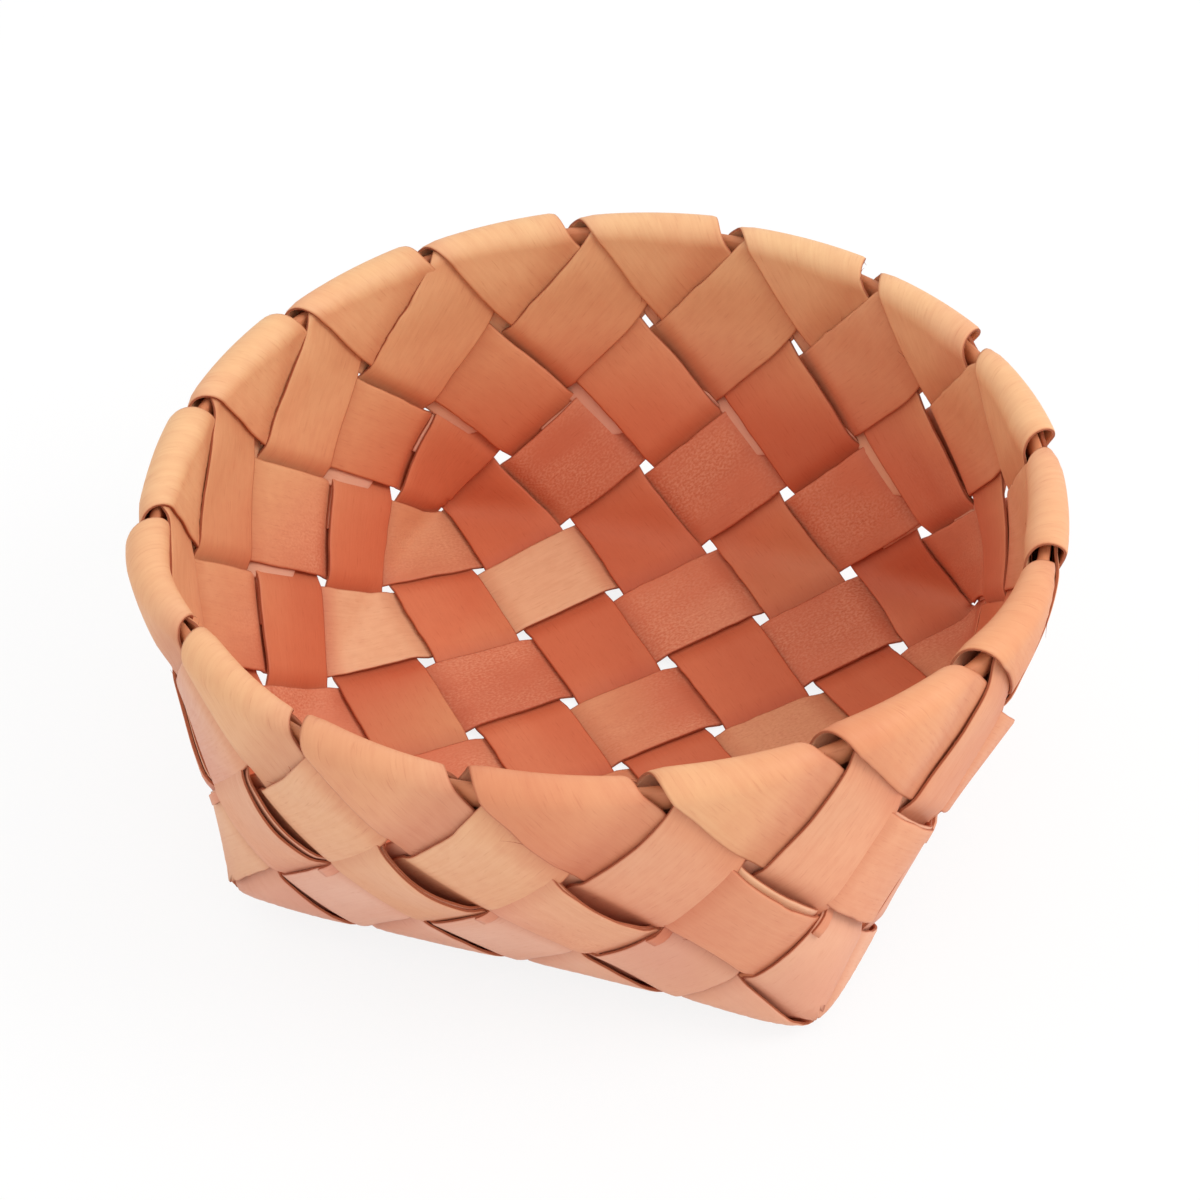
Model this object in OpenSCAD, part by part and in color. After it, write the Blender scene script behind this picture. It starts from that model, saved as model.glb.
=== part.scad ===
// Round storage basket plaited from wooden splints.
// Sixteen veneer splints cross on the bias in a square base, turn up into a round wall,
// fold over a lath hoop at the rim and tuck back down between the layers of the weave.

/* [Splints] */
// Distance between the middles of neighbouring splints, mm
cell = 25; // [22:0.5:30]
// Width of one splint, mm
strip_w = 22; // [16:0.5:23]
// Thickness of one splint, mm
strip_t = 0.8; // [0.5:0.1:1.2]

/* [Base] */
// Half side of the level middle of the base, mm
base_flat = 18; // [14:1:30]
// Radius at which the base curves up from there to its edges, mm
base_bend_r = 168; // [110:2:300]
// How far the corners of the base are rounded in, mm
corner_in = 6; // [0:0.5:10]

/* [Wall and rim] */
// Radius of the rim, measured to the middle of the hoop, mm
rim_r = 93.5; // [86:0.5:104]
// Height of the hoop's underside above the weave in the middle of the base, mm
wall_h = 78; // [64:1:92]
// How slowly the wall starts to rise and spread above the base edge
wall_ease = 1.1; // [1:0.05:1.4]

/* [Hoop] */
// Thickness of the hoop's lath, mm
hoop_t = 2.4; // [1.6:0.2:4]
// Height of the hoop's lath, mm
hoop_h = 6; // [5:0.5:9]

/* [Clearances] */
// Space between two splints that cross or double each other, mm
weave_gap = 0.1; // [0.05:0.05:0.3]
// Space between the hoop and the splints that wrap it, mm
hoop_gap = 0.6; // [0.5:0.1:1]
// Space between the two splints that wrap each other at the rim, mm
loop_gap = 0.6; // [0.5:0.1:1]

/* [Hidden] */

// Splints from the middle of the base to its corner, and rows of crossings up the wall
HALF_COUNT = 4;
ROWS = 4;
// Two splints cross at every step along the base edge, and at every second one on the rim
step = cell / sqrt(2);
step_angle = 360 / (8 * HALF_COUNT);
half_side = HALF_COUNT * step;
// Half a splint's width, in cells, and the three places across it where it has points
q = strip_w / (2 * cell);
ACROSS = [-q, 0, q];
// Middle of one layer to the middle of the next
layer = strip_t + weave_gap;
// The middle of the weave stands this far above the table
sole = (layer + strip_t) / 2;
// Height of the base edge, in the middle of a side
edge_z = base_bend_r * (1 - cos((half_side - base_flat) / base_bend_r * 180 / PI));
// Inner and outer fold over the hoop, to the middle of the splint, and their centre's height
fold_in = hoop_t / 2 + hoop_gap + strip_t / 2;
fold_out = fold_in + strip_t + loop_gap;
fold_z = wall_h + hoop_h - hoop_t / 2;
// Rows that each end runs down again: the left one to the middle of its last crossing,
// the right one to the far edge of its own
tuck_rows_left = 3;
tuck_rows_right = 2 + q;
FOLD_ANGLES = [0 : 30 : 180];
// How quickly the rounding of the base fades away from the corners
CORNER_FADE = 6;
// Step for the slopes of the middle surface, in cells
SLOPE_STEP = 0.01;
EPS = 0.001;
$fn = 96;

WARP_COLOUR = [0.85, 0.60, 0.42];
WEFT_COLOUR = [0.80, 0.53, 0.36];
HOOP_COLOUR = [0.62, 0.38, 0.25];

function mix(from, to, t) = from + (to - from) * t;
function unit(v) = v / norm(v);
function clamp01(t) = min(1, max(0, t));

// The base: square rings that are level at first and then bend upward, keeping their spacing.
// Their corners are rounded in more and more towards the base edge.
function bend_angle(m) = max(0, m - base_flat) / base_bend_r * 180 / PI;
function bend_d(m) = min(m, base_flat) + base_bend_r * sin(bend_angle(m));
function bend_z(m) = base_bend_r * (1 - cos(bend_angle(m)));
function rounded_in(m, corner) =
    m - corner_in / sqrt(2) * pow(m / half_side, 2) * pow(corner, CORNER_FADE);
function base_point(x, y) =
    let (m = max(abs(x), abs(y), EPS),
         size = rounded_in(m, min(abs(x), abs(y)) / m),
         spread = bend_d(size) / m)
    [x * spread, y * spread, bend_z(size)];

// The wall: x counts steps clockwise from the middle of the back, h counts rows up
function edge_point(x) =
    let (side = floor((x + HALF_COUNT) / (2 * HALF_COUNT)),
         p = base_point((x - 2 * HALF_COUNT * side) * step, half_side))
    [p[0] * cos(90 * side) + p[1] * sin(90 * side),
     p[1] * cos(90 * side) - p[0] * sin(90 * side), p[2]];
function rim_point(x) = [rim_r * sin(step_angle * x), rim_r * cos(step_angle * x), wall_h];
function wall_point(x, h) =
    let (rise = pow(h / ROWS, wall_ease),
         spread = sin(90 * min(1, rise)),
         low = edge_point(x),
         high = rim_point(x))
    [mix(low[0], high[0], spread), mix(low[1], high[1], spread), mix(low[2], high[2], rise)];

// The middle surface under a splint that runs along a at b > 0, both counted in cells.
// Its left end goes up the back wall, its right end up the right wall.
// Past the rim it comes down the wall again, and the surface faces the other way.
function rows_up(left, a, b) = (left ? b - a : a + b) - HALF_COUNT;
function weave_point(left, past, a, b) =
    let (up = rows_up(left, a, b), x = left ? a + b : 2 * HALF_COUNT + a - b)
    up > 0 ? wall_point(x, past ? 2 * ROWS - up : up)
           : base_point((a + b) * step, (b - a) * step);
function weave_normal(left, past, a, b) =
    let (e = SLOPE_STEP)
    unit(cross(weave_point(left, past, a + e, b) - weave_point(left, past, a - e, b),
               weave_point(left, past, a, b + e) - weave_point(left, past, a, b - e)));

// Which layer a splint keeps to in each row, in layers above the middle surface.
// Rows past the rim count on from it. There each end lies outside the splint that it doubles.
LEFT_LAYERS = [[ROWS - 3, -1], [ROWS - 2, 1], [ROWS - 1, -0.5],
               [ROWS + 1, -0.5], [ROWS + 2, 2], [ROWS + 3, 0]];
RIGHT_LAYERS = [[ROWS - 3, 1], [ROWS - 2, -1], [ROWS - 1, 1.5],
                [ROWS + 1, 1.5], [ROWS + 2, 0]];
function row_layer(left, row) =
    let (listed = [for (pair = left ? LEFT_LAYERS : RIGHT_LAYERS) if (pair[0] == row) pair[1]])
    len(listed) > 0 ? listed[0] : (row % 2 == 0) == left ? 0.5 : -0.5;
// In the half cells under the hoop the layers spread from a plain stack to the hoop's width
function rim_offset(left, h) =
    mix(layer / 2, fold_in, clamp01((h - ROWS + 2 * q) / (2 * q)))
    + (left ? fold_out - fold_in : 0);
function offset_at(left, row, h) =
    row == ROWS ? rim_offset(left, h) : layer * row_layer(left, row);

// A ring holds six points: the upper face across the splint, then the lower face back again
function ring(pairs) =
    [pairs[0][0], pairs[1][0], pairs[2][0], pairs[2][1], pairs[1][1], pairs[0][1]];
// A ring in the weave at a place counted in rows. Skew 0 is square to the splint, 1 is level.
function weave_ring(beta, left, past, row, place, skew = 0) = ring([
    for (d = ACROSS)
        let (b = beta + d,
             along = place + HALF_COUNT - beta - skew * d,
             a = left ? -along : along,
             up = rows_up(left, a, b),
             middle = weave_point(left, past, a, b),
             normal = weave_normal(left, past, a, b),
             offset = offset_at(left, row, past ? 2 * ROWS - up : up))
        [middle + (offset + strip_t / 2) * normal, middle + (offset - strip_t / 2) * normal]]);
// A ring where the splint goes straight outward over the hoop: left ends over the right ones
function fold_ring(beta, left, angle) =
    let (radius = left ? fold_out : fold_in)
    ring([
    for (d = ACROSS)
        let (b = beta + d,
             turn = 2 * b - HALF_COUNT - ROWS,
             x = left ? turn : 2 * HALF_COUNT - turn,
             out = [sin(step_angle * x), cos(step_angle * x)],
             centre = [rim_r * out[0], rim_r * out[1], fold_z],
             way = [-cos(angle) * out[0], -cos(angle) * out[1], sin(angle)])
        [centre + (radius + strip_t / 2) * way, centre + (radius - strip_t / 2) * way]]);

// One end, from the base upward, over the hoop and down to where it is tucked in
function end_rings(beta, left, tuck) = concat(
    [for (row = [beta - HALF_COUNT + 0.5 : ROWS - 1])
        for (d = ACROSS)
            weave_ring(beta, left, false, row, row + d)],
    [weave_ring(beta, left, false, ROWS, ROWS - q),
     weave_ring(beta, left, false, ROWS, ROWS - q / 2, 0.5),
     weave_ring(beta, left, false, ROWS, ROWS, 1)],
    [for (angle = FOLD_ANGLES)
        fold_ring(beta, left, angle)],
    [weave_ring(beta, left, true, ROWS, ROWS, 1),
     weave_ring(beta, left, true, ROWS, ROWS + q / 2, 0.5),
     weave_ring(beta, left, true, ROWS, ROWS + q)],
    [for (row = [1 : round(tuck)])
        for (d = ACROSS)
            if (row + d <= tuck)
                weave_ring(beta, left, true, ROWS + row, ROWS + row + d)]);
function over_hoop(points) = points[1][2] > wall_h - hoop_gap;
function reversed(list) = [for (i = [len(list) - 1 : -1 : 0]) list[i]];

// Two triangles between points p, p + 1 of one ring and n, n + 1 of the next
function band_pair(p, p1, n, n1, falling) =
    falling ? [[p, p1, n1], [p, n1, n]] : [[p, p1, n], [p1, n1, n]];

module splint(beta) {
    left = reversed(end_rings(beta, true, tuck_rows_left));
    right = end_rings(beta, false, tuck_rows_right);
    rings = concat(left, right);
    last = 6 * (len(rings) - 1);
    bands = [for (i = [0 : len(rings) - 2])
        for (k = [0 : 5])
            // The diagonals run level, so that splints in one crossing have the same facets.
            // Round the hoop they run up, so that the facets keep close to its curve.
            let (k1 = (k + 1) % 6,
                 up = over_hoop(rings[i]) && over_hoop(rings[i + 1]),
                 falling = ((i < len(left)) == (k < 3)) != up)
            for (triangle = band_pair(6 * i + k, 6 * i + k1, 6 * i + 6 + k, 6 * i + 6 + k1, falling))
                triangle];
    start_cap = [[0, 4, 1], [0, 5, 4], [1, 3, 2], [1, 4, 3]];
    end_cap = [for (t = start_cap) [last + t[2], last + t[1], last + t[0]]];
    translate([0, 0, sole])
        polyhedron([for (r = rings) for (p = r) p], concat(bands, start_cap, end_cap), 12);
}

// Warp splints run from the back left to the front right, weft splints across them.
// They are numbered from the front, and each is a turned copy of one of four lengths.
module warp_splint(number) {
    beta = number - HALF_COUNT - 0.5;
    color(WARP_COLOUR)
        rotate(beta > 0 ? 0 : 180)
            splint(abs(beta));
}

module weft_splint(number) {
    beta = number - HALF_COUNT - 0.5;
    color(WEFT_COLOUR)
        rotate(beta < 0 ? 90 : 270)
            splint(abs(beta));
}

// A lath bent into a ring, with rounded edges where the splints fold over it
module rim_hoop() {
    color(HOOP_COLOUR)
        translate([0, 0, sole + wall_h])
            rotate_extrude()
                translate([rim_r, 0]) {
                    translate([-hoop_t / 2, hoop_t / 2])
                        square([hoop_t, hoop_h - hoop_t]);
                    for (z = [hoop_t / 2, hoop_h - hoop_t / 2])
                        translate([0, z])
                            circle(d = hoop_t);
                }
}

warp_splint(1);  // warp_splint_1
warp_splint(2);  // warp_splint_2
warp_splint(3);  // warp_splint_3
warp_splint(4);  // warp_splint_4
warp_splint(5);  // warp_splint_5
warp_splint(6);  // warp_splint_6
warp_splint(7);  // warp_splint_7
warp_splint(8);  // warp_splint_8
weft_splint(1);  // weft_splint_1
weft_splint(2);  // weft_splint_2
weft_splint(3);  // weft_splint_3
weft_splint(4);  // weft_splint_4
weft_splint(5);  // weft_splint_5
weft_splint(6);  // weft_splint_6
weft_splint(7);  // weft_splint_7
weft_splint(8);  // weft_splint_8
rim_hoop();
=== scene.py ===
"""Dresses the splint basket: bent veneer splints, a lath hoop, wood materials, light and camera."""
import math

import bpy
import numpy as np
from mathutils import Matrix, Vector


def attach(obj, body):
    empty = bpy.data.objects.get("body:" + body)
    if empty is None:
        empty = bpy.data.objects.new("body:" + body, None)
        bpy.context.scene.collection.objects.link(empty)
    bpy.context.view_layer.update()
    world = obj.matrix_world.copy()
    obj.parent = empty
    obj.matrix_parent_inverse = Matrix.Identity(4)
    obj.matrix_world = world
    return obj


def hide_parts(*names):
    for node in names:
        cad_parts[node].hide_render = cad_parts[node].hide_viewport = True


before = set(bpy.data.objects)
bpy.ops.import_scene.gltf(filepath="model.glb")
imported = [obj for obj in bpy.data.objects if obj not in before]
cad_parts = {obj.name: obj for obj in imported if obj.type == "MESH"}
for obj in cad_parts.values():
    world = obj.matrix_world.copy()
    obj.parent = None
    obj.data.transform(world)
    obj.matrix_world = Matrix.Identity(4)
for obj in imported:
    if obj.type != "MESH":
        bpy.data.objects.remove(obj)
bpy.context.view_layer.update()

# Sizes in metres, as in the CAD model
MM = 0.001
CELL = 25 * MM
STRIP_W = 22 * MM
STRIP_T = 0.8 * MM
BASE_FLAT = 18 * MM
BASE_BEND_R = 168 * MM
CORNER_IN = 4 * MM
CORNER_FADE = 6
RIM_R = 93.5 * MM
WALL_H = 78 * MM
WALL_EASE = 1.1
HOOP_T = 2.4 * MM
HOOP_H = 6 * MM
HOOP_GAP = 0.6 * MM
LOOP_GAP = 0.3 * MM
LAYER = 0.9 * MM
SOLE = (LAYER + STRIP_T) / 2

# The weave: splints from the middle of the base to its corner, rows of crossings up the wall
HALF = 4
ROWS = 4
STEP = CELL / math.sqrt(2)
STEP_ANGLE = 2 * math.pi / (8 * HALF)
HALF_SIDE = HALF * STEP
HALF_W = STRIP_W / (2 * CELL)
EDGE_Z = BASE_BEND_R * (1 - math.cos((HALF_SIDE - BASE_FLAT) / BASE_BEND_R))
FOLD_IN = HOOP_T / 2 + HOOP_GAP + STRIP_T / 2
FOLD_OUT = FOLD_IN + STRIP_T + LOOP_GAP
FOLD_Z = WALL_H + HOOP_H - HOOP_T / 2
# Near the rim the splints stand up more steeply, and the last crossings lie on the crest
FOLD_RUN = FOLD_OUT * math.pi / 2
CREST_RUN = FOLD_Z - WALL_H + FOLD_RUN
ROW_RUN = (WALL_H - EDGE_Z) * WALL_EASE / ROWS
HOOP_ROW = ROWS - CREST_RUN / (CREST_RUN + ROW_RUN)
STEEP_ROW = ROWS - 2 * HALF_W
# The wall's surface passes over into the hoop's within this many rows
HOOP_BLEND = 0.36
# How many rows past the crest the ends of a splint are tucked
TUCK_LEFT = 3.0
TUCK_RIGHT = 2.72

# Mesh density: rings per cell along a splint, and closer ones in the rows beside the crest
RINGS_PER_CELL = 16
RIM_RINGS_PER_CELL = 40
RIM_ZONE = 0.6
SHORTEST_CELL = 0.01
# Rings lie along the rim near the crest and turn square to the splint from here on, in rows
RING_TURN_FROM, RING_TURN_OVER = 0.3, 1.2
# Places across a splint from edge to edge, and how far its thickness tapers at the cut edges
ACROSS = 13
EDGE_STRIP = 0.95
ACROSS_AT = np.concatenate([[-1], np.linspace(-EDGE_STRIP, EDGE_STRIP, ACROSS - 2), [1]])
EDGE_TAPER = 0.4
# Rounding of the bend at the base edge in rows and at its corners in steps, and step for slopes
EDGE_ROUND, EDGE_SAMPLES = 0.28, 7
CORNER_ROUND, CORNER_SAMPLES = 0.45, 5
SLOPE_STEP = 0.02
# The bend at the base edge springs outward a little
BEND_OUT = 0.5 * MM
BEND_REACH = 0.45


def mix(start, end, t):
    return start + (end - start) * t


def smooth(t):
    t = np.clip(t, 0, 1)
    return t * t * (3 - 2 * t)


def ease(value, start, over):
    """Rises smoothly from 0 to 1, from the start and over the given length."""
    return smooth((value - start) / over)


def bell(value, reach):
    return np.exp(-(value / reach) ** 2)


def degrees_apart(angle, other):
    return (angle - other + 180) % 360 - 180


# The middle surface of the weave
def base_points(x, y):
    """Square rings with rounded corners that are level at first and then bend upward."""
    m = np.maximum(np.maximum(np.abs(x), np.abs(y)), 1e-6)
    corner = np.minimum(np.abs(x), np.abs(y)) / m
    size = m - CORNER_IN / math.sqrt(2) * (m / HALF_SIDE) ** 2 * corner ** CORNER_FADE
    turn = np.maximum(0, size - BASE_FLAT) / BASE_BEND_R
    spread = (np.minimum(size, BASE_FLAT) + BASE_BEND_R * np.sin(turn)) / m
    return np.stack([x * spread, y * spread, BASE_BEND_R * (1 - np.cos(turn))], -1)


def edge_points(x):
    """The edge of the base, where x counts steps clockwise from the middle of the back."""
    side = np.floor((x + HALF) / (2 * HALF))
    p = base_points((x - 2 * HALF * side) * STEP, np.full_like(x, HALF_SIDE))
    c, s = np.cos(side * math.pi / 2), np.sin(side * math.pi / 2)
    return p[..., 0] * c + p[..., 1] * s, p[..., 1] * c - p[..., 0] * s, p[..., 2]


def wall_points(x, h):
    """x counts steps clockwise from the middle of the back, h counts rows up."""
    rise = (np.maximum(h, 0) / ROWS) ** WALL_EASE
    spread = np.sin(math.pi / 2 * np.minimum(1, rise))
    low_x, low_y, low_z = edge_points(x)
    return np.stack([mix(low_x, RIM_R * np.sin(STEP_ANGLE * x), spread),
                     mix(low_y, RIM_R * np.cos(STEP_ANGLE * x), spread),
                     mix(low_z, WALL_H, rise)], -1)


def sharp_points(left, x, row):
    """Base and wall with a sharp bend between them; row counts crossings up from that bend."""
    u, v = x * STEP, (row + HALF) * STEP
    base = base_points(u, v) if left else base_points(v, 2 * HALF_SIDE - u)
    steep = np.maximum(0, row - STEEP_ROW) * (ROWS - HOOP_ROW) / (HOOP_ROW - STEEP_ROW)
    return np.where((row > 0)[..., None], wall_points(x, row + steep), base)


def weave_points(left, x, row):
    """The same surface, rounded where the base turns up and at its corners."""
    total = 0
    for up in np.linspace(-EDGE_ROUND, EDGE_ROUND, EDGE_SAMPLES):
        for turn in np.linspace(-CORNER_ROUND, CORNER_ROUND, CORNER_SAMPLES):
            total = total + sharp_points(left, x + turn, row + up)
    return total / (EDGE_SAMPLES * CORNER_SAMPLES)


def weave_normals(left, x, row):
    e = SLOPE_STEP
    along = weave_points(left, x + e, row) - weave_points(left, x - e, row)
    up = weave_points(left, x, row + e) - weave_points(left, x, row - e)
    normal = np.cross(along, up)
    return normal / np.linalg.norm(normal, axis=-1, keepdims=True)


def over_hoop(x, row):
    """The way over the hoop, from its underside to the crest: centres and normals."""
    run = (row - HOOP_ROW) / (ROWS - HOOP_ROW) * CREST_RUN
    angle = np.maximum(0, run - (CREST_RUN - FOLD_RUN)) / FOLD_OUT
    z = WALL_H + np.minimum(run, CREST_RUN - FOLD_RUN)
    sin, cos = np.sin(STEP_ANGLE * x), np.cos(STEP_ANGLE * x)
    centres = np.stack([RIM_R * sin, RIM_R * cos, z], -1)
    normals = np.stack([-np.cos(angle) * sin, -np.cos(angle) * cos, np.sin(angle)], -1)
    return centres, normals


# Layers of each row, in layers above the middle surface, for the left and right ends of a splint.
# Rows past the rim count on from it, and there the surface faces outward.
PLAIN = 0.75
LEFT_LAYERS = {1: -1.0, 2: 1.1, 6: 2.0, 7: 0.0}
RIGHT_LAYERS = {1: 1.0, 2: -1.0, 6: -0.1, 7: 2.0}
# The rows round the rim part for the hoop, and the two ends change places there
OUTER_AT_RIM = {True: {ROWS}, False: {ROWS - 1, ROWS + 1}}
INNER_LAYER, LAYERS_APART = 0.5, 1.1
# How suddenly a splint passes from one layer to the next
SWING = 5.0
# How far the free upper edge of an outer splint stands off in each row
LEFT_LIFTS = {1: 0.5 * MM, 6: 2.8 * MM}
RIGHT_LIFTS = {0: 0.5 * MM, 2: 2.6 * MM, 5: 0.3 * MM}
LIFT_REACH = 0.72
LIFT_CURVE = 1.5
# Where the splints lie flat on the wall instead, in degrees clockwise from the back, and how flat
FLAT_SIDE, FLAT_REACH, FLATNESS = 236, 22, 0.8


def row_offset(left, row):
    special = LEFT_LAYERS if left else RIGHT_LAYERS
    plain = PLAIN if (row % 2 == 0) == left else -PLAIN
    return LAYER * special.get(row, plain)


def rim_offset(outer, row):
    """The hoop parts the layers more and more toward the rim."""
    opened = ease(row, ROWS - 1, HOOP_ROW - ROWS + 1)
    inner = mix(INNER_LAYER * LAYER, FOLD_IN, opened)
    return inner + mix(LAYERS_APART * LAYER, FOLD_OUT - FOLD_IN, opened) if outer else inner


def weave_offsets(left, place, row):
    """How far a splint lies off the middle surface, swinging from crossing to crossing."""
    first = np.floor(place).astype(int)
    swing = 0.5 - 0.5 * np.tanh(SWING * np.cos(math.pi * (place - first))) / math.tanh(SWING)
    plain = np.array([row_offset(left, r) for r in range(-HALF, 2 * ROWS + 1)])
    ends = []
    for crossing in (first, first + 1):
        offset = plain[crossing + HALF]
        for r in (ROWS - 1, ROWS, ROWS + 1):
            offset = np.where(crossing == r, rim_offset(r in OUTER_AT_RIM[left], row), offset)
        ends.append(offset)
    return mix(ends[0], ends[1], swing)


def lifts(left, place, rise):
    """How far the splint's upper edge stands off the wall; rise is 1 at that edge and -1 below."""
    total = np.zeros_like(place)
    for row, size in (LEFT_LIFTS if left else RIGHT_LIFTS).items():
        near = np.clip((place - row) / LIFT_REACH, -1, 1)
        total += size * np.cos(math.pi / 2 * near) ** 2
    return total * (0.5 + 0.5 * np.clip(rise, -1, 1)) ** LIFT_CURVE


# Each splint wanders a little from its lane: wave lengths in metres and sizes in cells
LONGEST_SPLINT = 0.8
DRIFT = (0.075, 0.014)
WIDTH = (0.11, 0.010)
UNEVEN_EDGE = (0.0035, 0.0035)
# Ranges for how far its edges lift, how far its right end leans in cells and how pale its ends are
LIFT_GAIN = (0.75, 1.2)
TAIL_SHIFT = (0.10, 0.16)
PALENESS = (0.35, 1.0)
# The right end in cells: how much narrower at its two edges under the loops, and its tongue
RIM_NARROW = (0.17, 0.10)
RIM_REACH = 0.65
LEAN_FROM, LEAN_OVER = -0.2, 1.2
TONGUE_W = 0.10
TONGUE_FROM, TONGUE_OVER = 2.0, 0.42
# The loop over the rim stands off a little past its crest, and curls up at one edge
LOOP_PUFF = 0.2 * MM
PUFF_AT, PUFF_REACH = 6 * MM, 7 * MM
LOOP_CURL = 1.3 * MM


def wander(rng, wave, size):
    """A smooth random curve along a splint, with its wave length in metres and its height."""
    knots = rng.normal(0, size, int(LONGEST_SPLINT / wave) + 4)

    def at(s):
        t = s / wave + len(knots) / 2
        i = np.floor(t).astype(int)
        return mix(knots[i % len(knots)], knots[(i + 1) % len(knots)], smooth(t - i))
    return at


class Habits:
    """What makes one splint differ from the next."""

    def __init__(self, rng):
        self.drift = wander(rng, *DRIFT)
        self.width = wander(rng, *WIDTH)
        self.low_edge = wander(rng, *UNEVEN_EDGE)
        self.high_edge = wander(rng, *UNEVEN_EDGE)
        self.lift = rng.uniform(*LIFT_GAIN)
        self.tail = rng.uniform(*TAIL_SHIFT)
        self.pale = rng.uniform(*PALENESS)

    def across(self, beta, left, place):
        """Places across the splint, in cells from the middle of its lane, for each ring."""
        s = (place + HALF - beta) * CELL * (-1 if left else 1)
        low = -HALF_W - self.width(s) + self.low_edge(s) + self.drift(s)
        high = HALF_W + self.width(s) + self.high_edge(s) + self.drift(s)
        if not left:
            # The right end is narrow under the loops, leans out of its lane and is cut to a tongue
            past = place - ROWS
            near_rim = bell(past, RIM_REACH)
            lean = self.tail * ease(past, LEAN_FROM, LEAN_OVER)
            cut = ease(past, TONGUE_FROM, TONGUE_OVER)
            low = low + RIM_NARROW[0] * near_rim + lean * (1 - cut)
            high = mix(high + lean - RIM_NARROW[1] * near_rim, low + TONGUE_W, cut)
        return mix(low[:, None], high[:, None], 0.5 + 0.5 * ACROSS_AT)


def ring_places(beta, left):
    """Where the rings lie, in rows from the base edge: from the middle of the base to the end."""
    cell, rim_cell = 1 / RINGS_PER_CELL, 1 / RIM_RINGS_PER_CELL
    first = beta - HALF + (cell if left else 0)
    last = ROWS + (TUCK_LEFT if left else TUCK_RIGHT)
    return np.concatenate([np.arange(first, ROWS - RIM_ZONE, cell),
                           np.arange(ROWS - RIM_ZONE, ROWS + RIM_ZONE, rim_cell),
                           np.arange(ROWS + RIM_ZONE, last - SHORTEST_CELL, cell), [last]])


def bent_surface(left, x, row, past):
    """The surface that a splint follows, and its normals, from the base to the crest and back."""
    on_hoop = smooth((row - HOOP_ROW) / HOOP_BLEND + 0.5)[..., None]
    past = past[..., None]
    points, normals = weave_points(left, x, row), weave_normals(left, x, row)
    hoop_points, hoop_normals = over_hoop(x, row)
    # Past the crest the surface faces outward
    normals = np.where(past, -normals, normals)
    hoop_normals = hoop_normals * np.where(past, [-1.0, -1.0, 1.0], 1.0)
    normals = mix(normals, hoop_normals, on_hoop)
    return (mix(points, hoop_points, on_hoop),
            normals / np.linalg.norm(normals, axis=-1, keepdims=True))


def end_rings(beta, left, turn, habits):
    """Rings from the middle of the base up one wall, over the hoop and down to the tucked end."""
    place = ring_places(beta, left)
    d = habits.across(beta, left, place)
    along_rim = 1 - ease(np.abs(place - ROWS), RING_TURN_FROM, RING_TURN_OVER)
    place = place[:, None] - d * along_rim[:, None]
    up = place + d
    x = 2 * beta - HALF - place + d if left else 3 * HALF - 2 * beta + place - d
    past = up > ROWS
    row = np.where(past, 2 * ROWS - up, up)
    points, normals = bent_surface(left, x, row, past)
    rise = (row - np.where(past, 2 * ROWS - place, place)) / HALF_W
    flat = bell(degrees_apart(np.degrees(x * STEP_ANGLE - turn), FLAT_SIDE), FLAT_REACH)
    out = habits.lift * lifts(left, place, rise) * (1 - FLATNESS * flat)
    out = (out + BEND_OUT * bell(row, BEND_REACH)) * np.where(past, 1, -1)
    if left:
        run = (ROWS - row) / (ROWS - HOOP_ROW) * CREST_RUN * np.where(past, 1, -1)
        curl = LOOP_CURL * (0.5 + 0.5 * d / HALF_W) * bell(run, CREST_RUN)
        out = out + LOOP_PUFF * bell(run - PUFF_AT, PUFF_REACH) + curl
    points = points + normals * (weave_offsets(left, place, row) + out)[..., None]
    return points, normals, (place + HALF - beta) * CELL, d * CELL, row, place


# Waves round the rim: how many, how high, and where the first crest is, in degrees
RIM_OUT = ((0, 0.4 * MM, 0), (1, 1.45 * MM, -147), (2, 0.35 * MM, 114), (3, 0.6 * MM, -61))
RIM_RISE = ((0, -1.4 * MM, 0), (1, 0.6 * MM, -19))
WAVE_LIMIT = 1.2
# Loops that stand out from the rim: where and how widely in degrees, and how far
RIM_BULGES = ((239, 10, 2.6 * MM), (100, 14, 1.5 * MM))
BULGE_FROM, BULGE_OVER = 45 * MM, 30 * MM
# One corner of the base hangs lower than the others
SAG_AT = np.array([70, -70, 8]) * MM
SAG = np.array([-2.0, -1.0, -4.0]) * MM
SAG_REACH = 32 * MM


def waves(angle, crests):
    return sum(size * np.cos(k * angle - math.radians(phase)) for k, size, phase in crests)


def settle(points):
    """The whole basket is a little out of round, as a hand-made one is, and stands on the floor."""
    x, y, z = points[..., 0], points[..., 1], points[..., 2]
    angle = np.arctan2(x, y)
    up = np.clip((z - SOLE) / WALL_H, 0, WAVE_LIMIT)
    out = waves(angle, RIM_OUT) * up
    for at, width, size in RIM_BULGES:
        apart = degrees_apart(np.degrees(angle), at)
        out = out + size * bell(apart, width) * ease(z, BULGE_FROM, BULGE_OVER)
    rise = waves(angle, RIM_RISE) * up
    moved = np.stack([x + out * np.sin(angle), y + out * np.cos(angle), z + rise], -1)
    apart = np.linalg.norm(points - SAG_AT, axis=-1, keepdims=True)
    moved = moved + SAG * bell(apart, SAG_REACH)
    moved[..., 2] = np.maximum(moved[..., 2], 0)
    return moved


# Meshes, with a material number for each kind of face
UPPER_FACE, LOWER_FACE, CUT_FACE = 0, 1, 2
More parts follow.
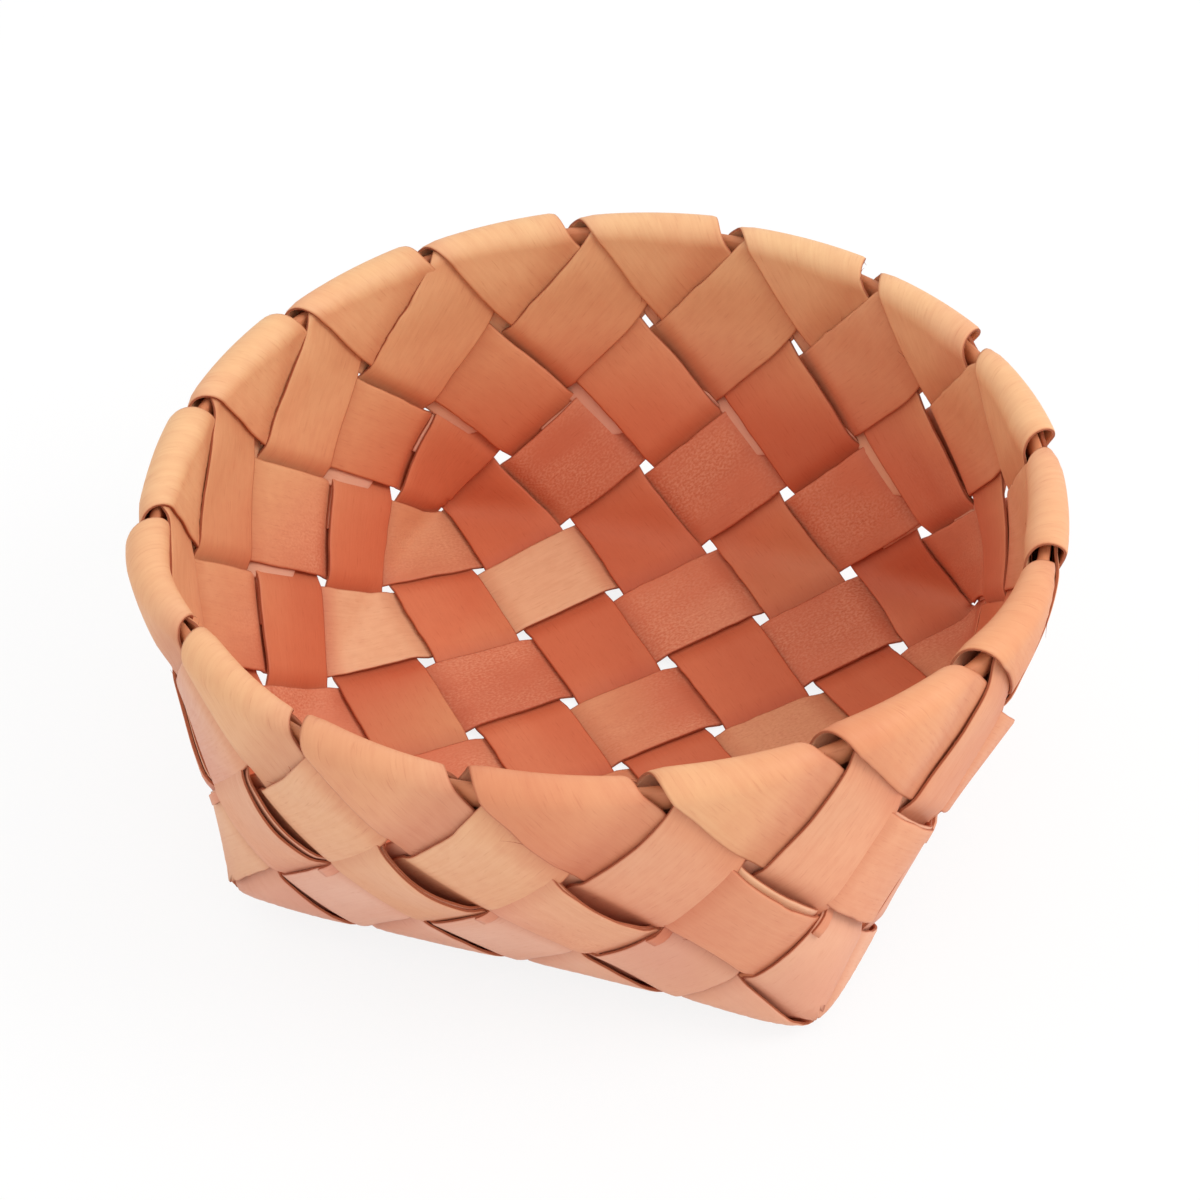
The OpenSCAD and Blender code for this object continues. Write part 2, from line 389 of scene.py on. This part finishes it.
# Torn fibres on each splint: between which rows, how far from its ends in rings, and their shape
FIBRES = 16
FIBRE_ROWS = (2.3, 4.2)
FIBRE_MARGIN = 5
FIBRE_LENGTH = (1, 4.5)
FIBRE_R = (0.08, 0.16)
FIBRE_LIFT = (-0.3, 0.5)
FIBRE_BOW = (0.15, 0.7)
FIBRE_ROOT = 0.2 * MM
FIBRE_TAPER = 0.85
FIBRE_RINGS = 6
FIBRE_SECTION = ((1, 0), (0, 1), (-1, 0), (0, -1))


def strip_faces(n, k):
    """Quads of the upper face, the lower face and the cut edge, with a material number for each."""
    i, j = np.meshgrid(np.arange(n - 1), np.arange(k - 1), indexing="ij")
    p = (i * k + j).ravel()
    upper = np.stack([p, p + k, p + k + 1, p + 1], -1)
    lower = np.stack([p, p + 1, p + k + 1, p + k], -1) + n * k
    rim = np.concatenate([np.arange(n) * k, (n - 1) * k + np.arange(1, k),
                          np.arange(n - 2, -1, -1) * k + k - 1, np.arange(k - 2, 0, -1)])
    after = np.roll(rim, -1)
    edge = np.stack([rim, rim + n * k, after + n * k, after], -1)
    faces = np.concatenate([upper, lower, edge])
    material = np.repeat([UPPER_FACE, LOWER_FACE, CUT_FACE], [len(upper), len(lower), len(edge)])
    return faces.tolist(), material.tolist()


def add_fibres(rng, points, normals, height, vertices, faces, material):
    """Fine torn fibres that stand off the splint's edges near the rim."""
    near_rim = np.flatnonzero((height[:, 0] > FIBRE_ROWS[0]) & (height[:, 0] < FIBRE_ROWS[1]))
    near_rim = near_rim[(near_rim >= FIBRE_MARGIN) & (near_rim < len(points) - FIBRE_MARGIN)]
    sides = len(FIBRE_SECTION)
    for i in rng.choice(near_rim, FIBRES, replace=False):
        j, inner = (0, 1) if rng.random() < 0.5 else (-1, -2)
        along = points[i + 1, j] - points[i - 1, j]
        along *= rng.choice((-1, 1)) / np.linalg.norm(along)
        out = points[i, j] - points[i, inner]
        out /= np.linalg.norm(out)
        lift = normals[i, j] * rng.uniform(*FIBRE_LIFT)
        length, thick = rng.uniform(*FIBRE_LENGTH) * MM, rng.uniform(*FIBRE_R) * MM
        bow = rng.uniform(*FIBRE_BOW)
        root = points[i, j] - out * FIBRE_ROOT
        start = len(vertices)
        for t in np.linspace(0, 1, FIBRE_RINGS):
            centre = root + length * (along * t + (out + lift) * bow * t * t)
            r = thick * (1 - FIBRE_TAPER * t)
            for u, v in FIBRE_SECTION:
                vertices.append(centre + r * (u * out + v * normals[i, j]))
        tip = start + sides * (FIBRE_RINGS - 1)
        new_faces = [tuple(range(start + sides - 1, start - 1, -1)), tuple(range(tip, tip + sides))]
        for ring in range(start, tip, sides):
            for c in range(sides):
                p, q = ring + c, ring + (c + 1) % sides
                new_faces.append((p, q, q + sides, p + sides))
        faces.extend(new_faces)
        material.extend([CUT_FACE] * len(new_faces))


# Marks for the materials. Sides are in degrees clockwise from the back.
# The outside is warmer on one side, and the tucked ends are paler away from it
WARM_SIDE = 90
OUTSIDE_FROM, OUTSIDE_OVER = 0.1, 0.9
TAIL_LOSS = 0.8
# The wall turns golden from this row up; on one side it starts some rows lower and on another side it
# is strongest, which is painted light on those lit sides
GOLDEN_FROM, GOLDEN_REACH, GOLDEN_LIT_SIDE = 1.7, 1.2, 270
PAINTED_LIGHT_SIDE, PAINTED_LIGHT_MEAN, PAINTED_LIGHT_SWING = 330, 0.78, 0.3
# The rough face fades out in these rows of the wall, and where a splint is bleached
ROUGH_FROM, ROUGH_OVER = 1.2, 1.6
BLEACH_FADE = 0.5
BLEACH_SMOOTH = 0.8
# Each splint takes its grain from another part of the log, and so does its lower face
LOG_STEP = np.array([1.37, 0.61])
LOWER_LOG = (0.4, 0.3)
FIBRE_LOG = 0.1
FIBRE_MARK = 0.5


def splint_marks(points, along, height, spot, shade_where_under, habits, roughness, bleached):
    """What the materials need to know at each point of the upper and of the lower face."""
    # The edge mark gives a thin line of painted shade along both edges of each splint
    edge = np.broadcast_to(np.abs(ACROSS_AT), along.shape)
    angle = np.arctan2(points[..., 0], points[..., 1])
    # Painted light: the golden tone starts lower and grows stronger on the lit sides
    start = GOLDEN_FROM - GOLDEN_REACH * np.maximum(0, np.cos(angle - math.radians(GOLDEN_LIT_SIDE)))
    painted_light = PAINTED_LIGHT_MEAN + PAINTED_LIGHT_SWING * np.cos(angle - math.radians(PAINTED_LIGHT_SIDE))
    tone = ease(height, start, ROWS - start) * painted_light
    outside = ease(spot - ROWS, OUTSIDE_FROM, OUTSIDE_OVER)
    warm = 0.5 + 0.5 * np.cos(angle - math.radians(WARM_SIDE))
    tail = habits.pale * outside * (1 - TAIL_LOSS * warm)
    cells = along / CELL
    bleach = smooth((cells - bleached[0]) / BLEACH_FADE) * smooth((bleached[1] - cells) / BLEACH_FADE)
    rough = roughness * (1 - ease(height, ROUGH_FROM, ROUGH_OVER)) * (1 - BLEACH_SMOOTH * bleach)
    none = np.zeros_like(along)
    return {"edge": (edge, edge), "tone": (tone, tone), "tail": (tail, none),
            "warm": (warm * outside, warm), "bleach": (bleach, none), "shade_where_under": (shade_where_under, -shade_where_under),
            "rough": (rough, none)}


def put_grain(mesh, places):
    """Grain coordinates in metres, along the wood and across it, for each vertex."""
    layer = mesh.uv_layers.new(name="grain")
    corner = np.empty(len(mesh.loops), dtype=int)
    mesh.loops.foreach_get("vertex_index", corner)
    layer.data.foreach_set("uv", places[corner].ravel())


def put_mark(mesh, label, values):
    mesh.attributes.new(label, "FLOAT", "POINT").data.foreach_set("value", values)


def splint_mesh(name, beta, turn, seed, roughness, bleached):
    """One splint: its left end from the tip back to the middle of the base, then its right end."""
    rng = np.random.default_rng(seed)
    habits = Habits(rng)
    left = [part[::-1] for part in end_rings(beta, True, turn, habits)]
    left[2] = -left[2]
    right = end_rings(beta, False, turn, habits)
    points, normals, along, side, height, spot = (np.concatenate(pair) for pair in zip(left, right))
    n, k = along.shape
    sign = np.repeat([1.0, -1.0], [len(left[0]), len(right[0])])[:, None]
    points[..., 2] += SOLE
    c, s = math.cos(turn), math.sin(turn)
    spin = np.array([[c, s, 0], [-s, c, 0], [0, 0, 1]])
    points, normals = points @ spin, normals @ spin
    half = STRIP_T / 2 * np.where(np.abs(ACROSS_AT) < 1, 1, 1 - EDGE_TAPER)[:, None]
    vertices = list(np.concatenate([(points + normals * half).reshape(-1, 3),
                                    (points - normals * half).reshape(-1, 3)]))
    faces, material = strip_faces(n, k)
    add_fibres(rng, points, normals, height, vertices, faces, material)
    vertices = settle(np.array(vertices))
    mesh = bpy.data.meshes.new(name)
    mesh.from_pydata(vertices.tolist(), [], faces)
    mesh.polygons.foreach_set("material_index", material)
    mesh.polygons.foreach_set("use_smooth", [m != CUT_FACE for m in material])
    on_fibres = len(vertices) - 2 * n * k
    grain = np.stack([along, side], -1).reshape(-1, 2) + seed * LOG_STEP
    put_grain(mesh, np.concatenate([grain, grain + LOWER_LOG, np.full((on_fibres, 2), FIBRE_LOG)]))
    # Painted shade: this cosine along the splint sets where it is darkened beside its crossings
    marks = splint_marks(points, along, height, spot, sign * np.cos(math.pi * spot), habits,
                         roughness, bleached)
    for label, (upper, lower) in marks.items():
        put_mark(mesh, label, np.concatenate([upper.ravel(), lower.ravel(),
                                              np.full(on_fibres, FIBRE_MARK)]))
    mesh.validate()
    return mesh


# Materials
def srgb(r, g, b):
    def linear(c):
        c /= 255
        return c / 12.92 if c <= 0.04045 else ((c + 0.055) / 1.055) ** 2.4
    return (linear(r), linear(g), linear(b), 1)


class Nodes:
    """Short calls for building a material's node tree."""

    def __init__(self, name):
        self.material = bpy.data.materials.new(name)
        self.material.use_nodes = True
        self.tree = self.material.node_tree
        self.shader = self.tree.nodes["Principled BSDF"]

    def add(self, kind, inputs=None, **settings):
        node = self.tree.nodes.new(kind)
        for key, value in settings.items():
            setattr(node, key, value)
        for key, value in (inputs or {}).items():
            self.feed(node.inputs[key], value)
        return node

    def feed(self, socket, value):
        if isinstance(value, bpy.types.NodeSocket):
            self.tree.links.new(value, socket)
        else:
            socket.default_value = value

    def grain(self, scale_along, scale_across, detail, distortion=0.0):
        """Noise stretched along the splint, in waves per metre."""
        uv = self.add("ShaderNodeUVMap", uv_map="grain")
        place = self.add("ShaderNodeMapping", {"Vector": uv.outputs["UV"],
                                               "Scale": (scale_along, scale_across, 1)})
        noise = self.add("ShaderNodeTexNoise", {"Vector": place.outputs["Vector"], "Scale": 1.0,
                                                "Detail": detail, "Distortion": distortion})
        return noise.outputs["Fac"]

    def mark(self, name):
        return self.add("ShaderNodeAttribute", attribute_name=name).outputs["Fac"]

    def ramp(self, value, low, high, to_low=0.0, to_high=1.0):
        """Takes values from low to high to those from to_low to to_high, and no further."""
        node = self.add("ShaderNodeMapRange", {"Value": value, "From Min": low, "From Max": high,
                                               "To Min": to_low, "To Max": to_high})
        return node.outputs["Result"]

    def share(self, value, most):
        """A value from 0 to 1 as a share of the most that it may reach."""
        return self.ramp(value, 0, 1, 0, most)

    def math(self, operation, first, second):
        return self.add("ShaderNodeMath", {0: first, 1: second}, operation=operation).outputs[0]

    def times(self, first, second):
        return self.math("MULTIPLY", first, second)

    def blend(self, factor, first, second, blend_type="MIX"):
        node = self.add("ShaderNodeMix", data_type="RGBA", blend_type=blend_type)
        for socket, value in zip((node.inputs[0], node.inputs[6], node.inputs[7]),
                                 (factor, first, second)):
            self.feed(socket, value)
        return node.outputs[2]


# Kinds of grain: waves per metre along and across the wood, detail, and distortion
GRAIN = {"figure": (8, 46, 3, 0.8), "fibres": (42, 1700, 3), "pores": (260, 2600, 2),
         "mottle": (260, 420, 4), "torn": (1300, 1900, 3), "rough": (30, 60, 2),
         "pale": (14, 30, 2), "dark": (17, 12, 1), "golden": (11, 9, 1), "cut": (420, 200, 3)}
BUMP_STRENGTH, BUMP_HEIGHT = 0.25, 0.2 * MM
VENEER_SHINE = 0.3
EDGE_ROUGHNESS = 0.8
TAIL = srgb(222, 172, 156)
WARM = srgb(228, 168, 128)
CREAM = srgb(240, 194, 152)
# The colour multiplied in for painted shade, where splints pass under one another and along their
# edges
SHADE_RED = srgb(206, 130, 96)


def veneer(name, body, dark, pale, golden):
    """Sliced veneer: soft figure, fine fibres, short pores, a torn speckle on its rough face."""
    n = Nodes(name)
    grain = {kind: n.grain(*waves) for kind, waves in GRAIN.items() if kind != "cut"}
    tone, fibres, torn = n.mark("tone"), grain["fibres"], grain["torn"]
    figure = n.times(n.ramp(grain["figure"], 0.40, 0.75), n.ramp(tone, 0, 0.6, 0.45, 0.22))
    patches = n.times(n.ramp(grain["dark"], 0.50, 0.66), n.ramp(tone, 0, 1, 0.55, 0.1))
    rough = n.times(n.mark("rough"), n.ramp(grain["rough"], 0.40, 0.62, 0.1, 1.0))
    # Coats of colour, one on the other: how much of it, which, and how it is laid on
    coats = ((figure, dark, "MIX"),
             # Golden toward the rim, with painted light on the lit sides of the wall
             (n.share(tone, 0.86), golden, "MIX"),
             (n.share(n.mark("tail"), 0.8), TAIL, "MIX"),
             (n.share(n.mark("warm"), 0.65), WARM, "MIX"),
             (n.ramp(grain["pale"], 0.54, 0.74, 0, 0.4), pale, "MIX"),
             (patches, dark, "MIX"),
             (n.ramp(grain["golden"], 0.54, 0.68, 0, 0.4), golden, "MIX"),
             (n.share(n.mark("bleach"), 0.85), CREAM, "MIX"),
             (n.ramp(fibres, 0.32, 0.62, 0.09, 0), dark, "MIX"),
             (n.ramp(grain["mottle"], 0.42, 0.70, 0, 0.12), dark, "MIX"),
             (n.ramp(grain["pores"], 0.60, 0.74, 0, 0.2), dark, "MULTIPLY"),
             (n.times(rough, n.ramp(torn, 0.42, 0.66, 0.05, 0.5)), pale, "MIX"),
             (n.times(rough, n.ramp(torn, 0.40, 0.30, 0, 0.3)), dark, "MIX"),
             # Painted shade: darker where a splint passes under its neighbours
             (n.ramp(n.mark("shade_where_under"), 0.5, -0.2, 0, 0.3), SHADE_RED, "MULTIPLY"),
             # Painted shade: a thin dark line along the splint's edges
             (n.ramp(n.mark("edge"), 0.97, 1.0, 0, 0.5), SHADE_RED, "MULTIPLY"))
    colour = body
    for amount, shade, laid in coats:
        colour = n.blend(amount, colour, shade, laid)
    # The fibres stand up a little everywhere, and the torn speckle most on the rough face
    height = n.math("ADD", n.times(fibres, 0.4), n.times(torn, n.ramp(rough, 0, 1, 0.15, 1.05)))
    bump = n.add("ShaderNodeBump", {"Height": height, "Strength": BUMP_STRENGTH,
                                    "Distance": BUMP_HEIGHT})
    dull = n.math("ADD", n.ramp(fibres, 0.2, 0.8, 0.62, 0.5), n.times(rough, 0.2))
    n.feed(n.shader.inputs["Base Color"], colour)
    n.feed(n.shader.inputs["Normal"], bump.outputs["Normal"])
    n.feed(n.shader.inputs["Roughness"], dull)
    n.feed(n.shader.inputs["Specular IOR Level"], VENEER_SHINE)
    return n.material


def cut_edge(name, body, dark):
    n = Nodes(name)
    n.feed(n.shader.inputs["Base Color"],
           n.blend(n.ramp(n.grain(*GRAIN["cut"]), 0.35, 0.7), body, dark))
    n.feed(n.shader.inputs["Roughness"], EDGE_ROUGHNESS)
    return n.material


GOLDEN = srgb(236, 191, 140)
WARP_UPPER = veneer("warp_upper", body=srgb(214, 119, 82), dark=srgb(196, 98, 66),
                    pale=srgb(230, 152, 112), golden=GOLDEN)
WEFT_UPPER = veneer("weft_upper", body=srgb(216, 126, 92), dark=srgb(196, 104, 74),
                    pale=srgb(234, 174, 138), golden=GOLDEN)
LOWER = veneer("veneer_lower", body=srgb(226, 170, 148), dark=srgb(210, 142, 118),
               pale=srgb(236, 194, 172), golden=GOLDEN)
EDGE = cut_edge("veneer_edge", body=srgb(190, 108, 70), dark=srgb(136, 66, 42))
LATH = veneer("hoop_lath", body=srgb(220, 142, 98), dark=srgb(178, 98, 66),
              pale=srgb(208, 146, 102), golden=srgb(196, 130, 88))

# Pieces: the rough face of the warp splints is smooth, and so is that of some weft splints
WARP_ROUGH, WEFT_ROUGH = 0.05, 1.0
SMOOTH_WEFTS = {6: 0.3, 8: 0.2}
# Pale stretches of splints, in cells along them from the middle, and one past the end of any
BLEACHED = {("weft", 2): (-2.2, 1.3)}
NOWHERE = (9, 9)
# Random numbers of the weft start after those of the warp
WEFT_SEED = 20
# The hoop's mesh: points round the ring and round its section, and how square that is
HOOP_TURNS, HOOP_PROFILE = 192, 20
HOOP_SQUARE = 4
HOOP_GIRTH = 12 * MM


def make_splint(kind, number, turn_positive, turn_negative):
    beta = number - HALF - 0.5
    name = f"{kind}_splint_{number}"
    warp = kind == "warp"
    mesh = splint_mesh(f"{name}_veneer", abs(beta),
                       math.radians(turn_positive if beta > 0 else turn_negative),
                       number if warp else number + WEFT_SEED,
                       WARP_ROUGH if warp else SMOOTH_WEFTS.get(number, WEFT_ROUGH),
                       BLEACHED.get((kind, number), NOWHERE))
    for material in (WARP_UPPER if warp else WEFT_UPPER, LOWER, EDGE):
        mesh.materials.append(material)
    piece = bpy.data.objects.new(f"{name}_veneer", mesh)
    bpy.context.collection.objects.link(piece)
    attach(piece, "root")
    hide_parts(name)


def make_hoop():
    """The lath inside the rim, with grain along it."""
    i, j = np.meshgrid(np.arange(HOOP_TURNS), np.arange(HOOP_PROFILE), indexing="ij")
    angle, t = 2 * math.pi * i / HOOP_TURNS, 2 * math.pi * j / HOOP_PROFILE
    flank = (HOOP_H - HOOP_T) / 2 * np.clip(HOOP_SQUARE * np.sin(t), -1, 1)
    r = RIM_R + HOOP_T / 2 * np.cos(t)
    z = SOLE + WALL_H + HOOP_H / 2 + flank + HOOP_T / 2 * np.sin(t)
    vertices = settle(np.stack([r * np.cos(angle), r * np.sin(angle), z], -1)).reshape(-1, 3)
    here, there = i * HOOP_PROFILE, (i + 1) % HOOP_TURNS * HOOP_PROFILE
    j1 = (j + 1) % HOOP_PROFILE
    faces = np.stack([here + j, there + j, there + j1, here + j1], -1).reshape(-1, 4)
    mesh = bpy.data.meshes.new("rim_hoop_lath")
    mesh.from_pydata(vertices.tolist(), [], faces.tolist())
    mesh.polygons.foreach_set("use_smooth", [True] * len(faces))
    put_grain(mesh, np.stack([RIM_R * angle, HOOP_GIRTH * j / HOOP_PROFILE], -1).reshape(-1, 2))
    # The hoop gets none of the painted shade of the crossings
    put_mark(mesh, "shade_where_under", np.ones(len(vertices)))
    mesh.materials.append(LATH)
    piece = bpy.data.objects.new("rim_hoop_lath", mesh)
    bpy.context.collection.objects.link(piece)
    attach(piece, "root")
    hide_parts("rim_hoop")


for number in range(1, 2 * HALF + 1):
    make_splint("warp", number, 0, 180)
    make_splint("weft", number, 270, 90)
make_hoop()

# Floor, light and camera
FLOOR_HALF = 3.0
FLOOR_COLOUR = (0.9, 0.9, 0.9, 1)
FLOOR_ROUGHNESS = 0.9
# The share of the floor that looks plain white; the rest takes the shadow
FLOOR_WHITE = 0.85
WHITE = (1, 1, 1, 1)
WORLD_LIGHT, BACKGROUND_LIGHT = 1.0, 1.0
KEY_PLACE, KEY_AIM = (0.95, 0.05, 0.95), (0, 0, 0.04)
KEY_SIZE, KEY_WATTS = 0.7, 6
# The photograph's view, in degrees and metres: where it looks from, its tilt and its aim
VIEW_AZIMUTH, VIEW_ELEVATION, VIEW_ROLL = 19.78, 40.81, -2.82
VIEW_DISTANCE = 876.6 * MM
VIEW_AIM = Vector((0, 0, 47.25 * MM))
VIEW_SHIFT = Vector((-2.76 * MM, 2.71 * MM))
VIEW_LENS, SENSOR = 120, 36


def make_floor():
    size = FLOOR_HALF
    mesh = bpy.data.meshes.new("floor")
    mesh.from_pydata([(-size, -size, 0), (size, -size, 0), (size, size, 0), (-size, size, 0)],
                     [], [(0, 1, 2, 3)])
    n = Nodes("floor_white")
    n.feed(n.shader.inputs["Base Color"], FLOOR_COLOUR)
    n.feed(n.shader.inputs["Roughness"], FLOOR_ROUGHNESS)
    rays = n.add("ShaderNodeLightPath").outputs
    mirrored = n.math("MAXIMUM", rays["Is Glossy Ray"], rays["Is Transmission Ray"])
    seen = n.math("MAXIMUM", rays["Is Camera Ray"], mirrored)
    glow = n.add("ShaderNodeEmission", {"Color": WHITE, "Strength": 1.0})
    both = n.add("ShaderNodeMixShader", {0: n.times(seen, FLOOR_WHITE), 1: n.shader.outputs[0],
                                         2: glow.outputs[0]})
    n.tree.links.new(both.outputs[0], n.tree.nodes["Material Output"].inputs["Surface"])
    mesh.materials.append(n.material)
    floor = bpy.data.objects.new("floor", mesh)
    bpy.context.collection.objects.link(floor)


def make_world():
    world = bpy.data.worlds.new("studio")
    bpy.context.scene.world = world
    world.use_nodes = True
    tree = world.node_tree
    rays = tree.nodes.new("ShaderNodeLightPath")
    seen = tree.nodes.new("ShaderNodeMath")
    seen.operation = "MAXIMUM"
    tree.links.new(rays.outputs["Is Camera Ray"], seen.inputs[0])
    tree.links.new(rays.outputs["Is Transmission Ray"], seen.inputs[1])
    strength = tree.nodes.new("ShaderNodeMapRange")
    strength.inputs["To Min"].default_value = WORLD_LIGHT
    strength.inputs["To Max"].default_value = BACKGROUND_LIGHT
    tree.links.new(seen.outputs[0], strength.inputs["Value"])
    background = tree.nodes["Background"]
    background.inputs["Color"].default_value = WHITE
    tree.links.new(strength.outputs[0], background.inputs["Strength"])


def make_light(name, place, aim, size, watts):
    data = bpy.data.lights.new(name, "AREA")
    data.shape = "DISK"
    data.size = size
    data.energy = watts
    light = bpy.data.objects.new(name, data)
    light.location = place
    light.rotation_euler = (Vector(aim) - Vector(place)).to_track_quat("-Z", "Y").to_euler()
    bpy.context.collection.objects.link(light)


def make_camera():
    az, el, roll = (math.radians(v) for v in (VIEW_AZIMUTH, VIEW_ELEVATION, VIEW_ROLL))
    back = Vector((math.sin(az) * math.cos(el), -math.cos(az) * math.cos(el), math.sin(el)))
    level = Vector((math.cos(az), math.sin(az), 0))
    top = back.cross(level)
    right = level * math.cos(roll) + top * math.sin(roll)
    up = top * math.cos(roll) - level * math.sin(roll)
    data = bpy.data.cameras.new("camera")
    data.lens, data.sensor_width = VIEW_LENS, SENSOR
    camera = bpy.data.objects.new("camera", data)
    place = VIEW_AIM + back * VIEW_DISTANCE + right * VIEW_SHIFT.x + up * VIEW_SHIFT.y
    turn = Matrix((right, up, back)).transposed()
    camera.matrix_world = Matrix.Translation(place) @ turn.to_4x4()
    bpy.context.collection.objects.link(camera)
    bpy.context.scene.camera = camera


bpy.context.scene.view_settings.view_transform = "Standard"
make_floor()
make_world()
make_light("key", KEY_PLACE, KEY_AIM, KEY_SIZE, KEY_WATTS)
make_camera()
